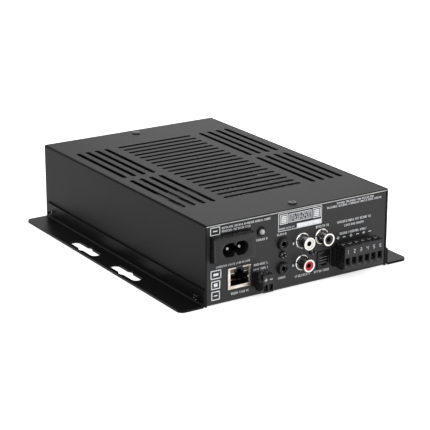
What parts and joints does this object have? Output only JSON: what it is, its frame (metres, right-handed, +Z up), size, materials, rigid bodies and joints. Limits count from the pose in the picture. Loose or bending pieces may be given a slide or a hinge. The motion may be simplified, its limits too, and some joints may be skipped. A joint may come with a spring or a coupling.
{
  "type": "installation audio amplifier",
  "caption": "Low, wide metal case with a folded vented cover, a connector panel with plug-in screw terminals, and a slotted mounting bracket along each side.",
  "frame": {"origin": "centre of the case's footprint, in the plane that the case and the bracket flanges stand on", "axes": "+Z up, the connector panel faces -Y, +X to the right of someone facing the connector panel"},
  "size_m": [0.174, 0.2206, 0.0531],
  "materials": {
    "case_coat": "satin, fine-textured black powder coat",
    "black_screw": "black-finished steel, satin",
    "inlet_moulding": "moulded black thermoset, slight sheen",
    "plated_pin": "nickel plated, bright",
    "jack_shield": "nickel-plated sheet, bright satin",
    "jack_moulding": "moulded black, satin",
    "jack_lamp": "moulded light window",
    "lamp_bezel": "moulded black, glossy",
    "lamp_lens": "diffused lens, unlit",
    "phono_shell": "nickel plated, bright",
    "phono_white": "moulded, satin gloss",
    "phono_red": "moulded, satin gloss",
    "phono_black": "moulded, satin gloss",
    "optical_flap": "moulded, satin",
    "optical_chip": "moulded epoxy, satin",
    "terminal_moulding": "moulded black, satin",
    "terminal_screw": "zinc plated, bright",
    "terminal_clamp": "plated steel",
    "board_laminate": "green solder mask over glass laminate",
    "brass_post": "turned, nickel free",
    "steel_screw": "zinc plated",
    "sink_aluminium": "extruded, matte",
    "choke_moulding": "ferrite and sleeve, matte",
    "can_sleeve": "shrunk sleeve",
    "transformer_core": "ferrite core and taped winding",
    "film_case": "moulded box, satin",
    "link_strip": "moulded strip with pins",
    "radio_can": "tinned screening lid"
  },
  "bodies": {
    "chassis": {"amplifier_chips": "optical_chip", "base_tray": "case_coat", "board_link": "link_strip", "board_screws": "steel_screw", "board_standoffs": "brass_post", "bracket_screws": "black_screw", "cover_screws": "black_screw", "filter_capacitors": "can_sleeve", "header_pins": "plated_pin", "heat_sink": "sink_aluminium", "infrared_jacks": "jack_moulding", "inlet_body": "inlet_moulding", "inlet_pins": "plated_pin", "jack_contacts": "plated_pin", "left_bracket": "case_coat", "main_board": "board_laminate", "mains_capacitor": "film_case", "network_jack_insert": "jack_moulding", "network_jack_lamps": "jack_lamp", "network_jack_shield": "jack_shield", "optical_receiver": "optical_chip", "optical_socket": "jack_moulding", "output_coils": "choke_moulding", "panel_screws": "black_screw", "phono_insert_black": "phono_black", "phono_insert_red": "phono_red", "phono_insert_white": "phono_white", "phono_jack_block": "jack_moulding", "phono_jack_shells": "phono_shell", "power_board": "board_laminate", "right_bracket": "case_coat", "speaker_header": "terminal_moulding", "status_lamp": "lamp_lens", "status_lamp_bezel": "lamp_bezel", "top_cover": "case_coat", "transformer": "transformer_core", "trigger_header": "terminal_moulding", "wireless_module": "radio_can"},
    "speaker_plug": {"speaker_plug": "terminal_moulding", "speaker_plug_contacts": "plated_pin"},
    "trigger_plug": {"trigger_plug": "terminal_moulding", "trigger_plug_contacts": "plated_pin"},
    "speaker_screw_1": {"speaker_screw_1": "terminal_screw"},
    "speaker_clamp_1": {"speaker_clamp_1": "terminal_clamp"},
    "speaker_screw_2": {"speaker_screw_2": "terminal_screw"},
    "speaker_clamp_2": {"speaker_clamp_2": "terminal_clamp"},
    "speaker_screw_3": {"speaker_screw_3": "terminal_screw"},
    "speaker_clamp_3": {"speaker_clamp_3": "terminal_clamp"},
    "speaker_screw_4": {"speaker_screw_4": "terminal_screw"},
    "speaker_clamp_4": {"speaker_clamp_4": "terminal_clamp"},
    "speaker_screw_5": {"speaker_screw_5": "terminal_screw"},
    "speaker_clamp_5": {"speaker_clamp_5": "terminal_clamp"},
    "speaker_screw_6": {"speaker_screw_6": "terminal_screw"},
    "speaker_clamp_6": {"speaker_clamp_6": "terminal_clamp"},
    "trigger_screw_1": {"trigger_screw_1": "terminal_screw"},
    "trigger_clamp_1": {"trigger_clamp_1": "terminal_clamp"},
    "trigger_screw_2": {"trigger_screw_2": "terminal_screw"},
    "trigger_clamp_2": {"trigger_clamp_2": "terminal_clamp"},
    "optical_shutter": {"optical_shutter": "optical_flap"}
  },
  "joints": [
    {"name": "speaker_plug_slide", "type": "slide", "parent": "chassis", "child": "speaker_plug", "axis": [0, -1, 0], "range_m": [0, 0.012]},
    {"name": "trigger_plug_slide", "type": "slide", "parent": "chassis", "child": "trigger_plug", "axis": [0, -1, 0], "range_m": [0, 0.01]},
    {"name": "optical_shutter_hinge", "type": "hinge", "parent": "chassis", "child": "optical_shutter", "pos_m": [0.0189, -0.10285, 0.0175], "axis": [1, 0, 0], "range_deg": [0, 90], "stiffness_Nm_per_rad": 0.0002, "springref_deg": -20.05},
    {"name": "speaker_screw_1_turn", "type": "hinge", "parent": "speaker_plug", "child": "speaker_screw_1", "pos_m": [0.0297, -0.11085, 0.02115], "axis": [0, 0, -1], "range_deg": [0, 1585]},
    {"name": "speaker_clamp_1_lift", "type": "slide", "parent": "speaker_plug", "child": "speaker_clamp_1", "axis": [0, 0, 1], "range_m": [0, 0.0022]},
    {"name": "speaker_screw_2_turn", "type": "hinge", "parent": "speaker_plug", "child": "speaker_screw_2", "pos_m": [0.03478, -0.11085, 0.02115], "axis": [0, 0, -1], "range_deg": [0, 1585]},
    {"name": "speaker_clamp_2_lift", "type": "slide", "parent": "speaker_plug", "child": "speaker_clamp_2", "axis": [0, 0, 1], "range_m": [0, 0.0022]},
    {"name": "speaker_screw_3_turn", "type": "hinge", "parent": "speaker_plug", "child": "speaker_screw_3", "pos_m": [0.03986, -0.11085, 0.02115], "axis": [0, 0, -1], "range_deg": [0, 1585]},
    {"name": "speaker_clamp_3_lift", "type": "slide", "parent": "speaker_plug", "child": "speaker_clamp_3", "axis": [0, 0, 1], "range_m": [0, 0.0022]},
    {"name": "speaker_screw_4_turn", "type": "hinge", "parent": "speaker_plug", "child": "speaker_screw_4", "pos_m": [0.04494, -0.11085, 0.02115], "axis": [0, 0, -1], "range_deg": [0, 1585]},
    {"name": "speaker_clamp_4_lift", "type": "slide", "parent": "speaker_plug", "child": "speaker_clamp_4", "axis": [0, 0, 1], "range_m": [0, 0.0022]},
    {"name": "speaker_screw_5_turn", "type": "hinge", "parent": "speaker_plug", "child": "speaker_screw_5", "pos_m": [0.05002, -0.11085, 0.02115], "axis": [0, 0, -1], "range_deg": [0, 1585]},
    {"name": "speaker_clamp_5_lift", "type": "slide", "parent": "speaker_plug", "child": "speaker_clamp_5", "axis": [0, 0, 1], "range_m": [0, 0.0022]},
    {"name": "speaker_screw_6_turn", "type": "hinge", "parent": "speaker_plug", "child": "speaker_screw_6", "pos_m": [0.0551, -0.11085, 0.02115], "axis": [0, 0, -1], "range_deg": [0, 1585]},
    {"name": "speaker_clamp_6_lift", "type": "slide", "parent": "speaker_plug", "child": "speaker_clamp_6", "axis": [0, 0, 1], "range_m": [0, 0.0022]},
    {"name": "trigger_screw_1_turn", "type": "hinge", "parent": "trigger_plug", "child": "trigger_screw_1", "pos_m": [-0.0318, -0.11035, 0.01485], "axis": [0, 0, -1], "range_deg": [0, 1351]},
    {"name": "trigger_clamp_1_lift", "type": "slide", "parent": "trigger_plug", "child": "trigger_clamp_1", "axis": [0, 0, 1], "range_m": [0, 0.0015]},
    {"name": "trigger_screw_2_turn", "type": "hinge", "parent": "trigger_plug", "child": "trigger_screw_2", "pos_m": [-0.02799, -0.11035, 0.01485], "axis": [0, 0, -1], "range_deg": [0, 1351]},
    {"name": "trigger_clamp_2_lift", "type": "slide", "parent": "trigger_plug", "child": "trigger_clamp_2", "axis": [0, 0, 1], "range_m": [0, 0.0015]}
  ],
  "couplings": [
    {"joint": "speaker_screw_1_turn", "follows": "speaker_clamp_1_lift", "rad_per_m": 12566},
    {"joint": "speaker_screw_2_turn", "follows": "speaker_clamp_2_lift", "rad_per_m": 12566},
    {"joint": "speaker_screw_3_turn", "follows": "speaker_clamp_3_lift", "rad_per_m": 12566},
    {"joint": "speaker_screw_4_turn", "follows": "speaker_clamp_4_lift", "rad_per_m": 12566},
    {"joint": "speaker_screw_5_turn", "follows": "speaker_clamp_5_lift", "rad_per_m": 12566},
    {"joint": "speaker_screw_6_turn", "follows": "speaker_clamp_6_lift", "rad_per_m": 12566},
    {"joint": "trigger_screw_1_turn", "follows": "trigger_clamp_1_lift", "rad_per_m": 15708},
    {"joint": "trigger_screw_2_turn", "follows": "trigger_clamp_2_lift", "rad_per_m": 15708}
  ]
}
